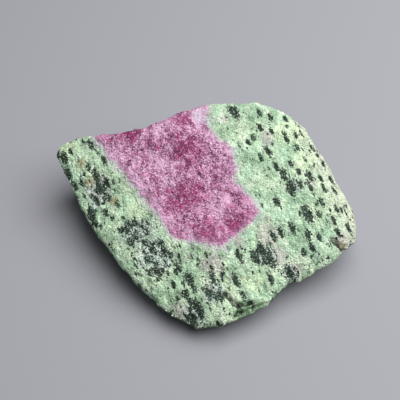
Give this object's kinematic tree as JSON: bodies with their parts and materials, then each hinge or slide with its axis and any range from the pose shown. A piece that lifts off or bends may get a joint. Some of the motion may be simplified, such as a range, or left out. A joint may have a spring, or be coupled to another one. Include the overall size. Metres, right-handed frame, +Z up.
{
  "type": "ruby in zoisite rough stone",
  "caption": "Broken wedge of green zoisite rock with a pink ruby patch in its broad upper face, peppered with black hornblende; rests flat on its underside.",
  "frame": {"origin": "under the middle of the stone's plan, on the surface it rests on", "axes": "+X along the stone's longest extent, towards its rounded shoulder; +Y towards its thick edge; +Z up"},
  "size_m": [0.0808, 0.0598, 0.0251],
  "materials": {
    "ruby_in_zoisite": "rough broken crystalline rock, satin sheen on the grains"
  },
  "bodies": {
    "root": {"stone": "ruby_in_zoisite"}
  },
  "joints": []
}
